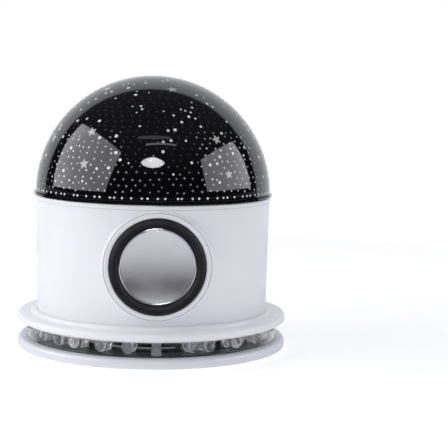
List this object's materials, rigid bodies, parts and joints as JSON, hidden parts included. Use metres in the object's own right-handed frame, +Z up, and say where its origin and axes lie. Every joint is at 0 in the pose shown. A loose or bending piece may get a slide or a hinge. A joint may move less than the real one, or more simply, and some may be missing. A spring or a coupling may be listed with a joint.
{
  "type": "star projector",
  "caption": "Bedside star projector with a turning lift-off star dome on a round drum, a front speaker and a lit clear ring in its base.",
  "frame": {"origin": "on the surface it stands on, under the axis of the drum and dome", "axes": "+Z up along the drum's axis, the speaker faces -Y, +X is to the right seen from the front"},
  "size_m": [0.12, 0.12, 0.1209],
  "materials": {
    "white_shell": "cool white moulded shell, satin gloss",
    "black_dome": "high gloss black with clear star dots",
    "black_plastic": "moulded black",
    "natural_plastic": "low friction natural plastic",
    "clear_ring": "clear moulded plastic",
    "clear_lamp": "clear cast resin",
    "board_green": "dark green solder mask",
    "board_white": "white solder mask on aluminium",
    "chip_black": "moulded chip",
    "capacitor_sleeve": "sleeved can",
    "connector_white": "moulded",
    "zinc_steel": "zinc plated",
    "tinned_wire": "tinned",
    "shield_tin": "tinned sheet",
    "rubber_black": "soft matt rubber",
    "foam_black": "foam gasket",
    "disc_aluminium": "satin, fine turned",
    "sink_aluminium": "as cast",
    "cone_paper": "pressed fibre",
    "spider_cloth": "resin treated cloth",
    "magnet_ferrite": "ground ferrite",
    "coil_copper": "enamelled winding",
    "emitter_yellow": "phosphor under resin",
    "wire_red": "insulated"
  },
  "bodies": {
    "root": {"base_plate": "white_shell", "rubber_feet": "rubber_black", "base_screws": "zinc_steel", "light_ring": "clear_ring", "led_board": "board_green", "led_board_screws": "zinc_steel", "ring_leds": "clear_lamp", "led_legs": "tinned_wire", "ir_receiver": "shield_tin", "flange_cover": "white_shell", "drum_screws": "zinc_steel", "drum_housing": "white_shell", "collar_ring": "white_shell", "speaker_bezel": "white_shell", "speaker_gasket": "foam_black", "speaker_basket": "zinc_steel", "speaker_top_plate": "zinc_steel", "speaker_magnet": "magnet_ferrite", "speaker_yoke": "zinc_steel", "speaker_spider": "spider_cloth", "speaker_surround": "rubber_black", "inner_deck": "white_shell", "deck_screws": "zinc_steel", "motor_can": "zinc_steel", "motor_plate": "zinc_steel", "motor_screws": "zinc_steel", "lamp_post": "black_plastic", "heat_sink": "sink_aluminium", "lamp_board": "board_white", "lamp_screws": "zinc_steel", "lamp_emitters": "emitter_yellow", "lamp_lens": "clear_lamp", "main_board": "board_green", "main_board_screws": "zinc_steel", "board_chips": "chip_black", "board_capacitors": "capacitor_sleeve", "board_connectors": "connector_white", "speaker_wires": "wire_red", "deck_wires": "wire_red", "rear_panel": "white_shell", "control_board": "board_green", "control_screws": "zinc_steel", "tact_switches": "chip_black", "power_inlet": "shield_tin", "inlet_tongue": "chip_black"},
    "turntable": {"turntable": "black_plastic", "turntable_gear": "natural_plastic", "turntable_clip": "natural_plastic"},
    "dome": {"star_dome": "black_dome"},
    "pinion": {"motor_shaft": "zinc_steel", "motor_pinion": "natural_plastic"},
    "diaphragm": {"speaker_disc": "disc_aluminium", "speaker_cone": "cone_paper", "voice_coil": "coil_copper"},
    "power_key": {"power_button": "black_plastic", "power_plunger": "chip_black"},
    "light_key": {"light_button": "black_plastic", "light_plunger": "chip_black"},
    "turn_key": {"turn_button": "black_plastic", "turn_plunger": "chip_black"}
  },
  "joints": [
    {"name": "turntable_turn", "type": "hinge", "parent": "root", "child": "turntable", "pos_m": [0, 0, 0.068], "axis": [0, 0, 1], "continuous": true},
    {"name": "pinion_spin", "type": "hinge", "parent": "root", "child": "pinion", "pos_m": [0.0384, 0, 0.064], "axis": [0, 0, 1], "continuous": true},
    {"name": "dome_lift", "type": "slide", "parent": "turntable", "child": "dome", "axis": [0, 0, 1], "range_m": [0, 0.06]},
    {"name": "diaphragm_stroke", "type": "slide", "parent": "root", "child": "diaphragm", "axis": [0, -1, 0], "range_m": [-0.0015, 0.0015], "stiffness_N_per_m": 1500, "deforming": ["speaker_surround", "speaker_spider"]},
    {"name": "power_press", "type": "slide", "parent": "root", "child": "power_key", "axis": [0, -1, 0], "range_m": [0, 0.0005], "stiffness_N_per_m": 3000},
    {"name": "light_press", "type": "slide", "parent": "root", "child": "light_key", "axis": [0, -1, 0], "range_m": [0, 0.0005], "stiffness_N_per_m": 3000},
    {"name": "turn_press", "type": "slide", "parent": "root", "child": "turn_key", "axis": [0, -1, 0], "range_m": [0, 0.0005], "stiffness_N_per_m": 3000}
  ],
  "couplings": [
    {"joint": "pinion_spin", "follows": "turntable_turn", "ratio": 7.8571}
  ]
}
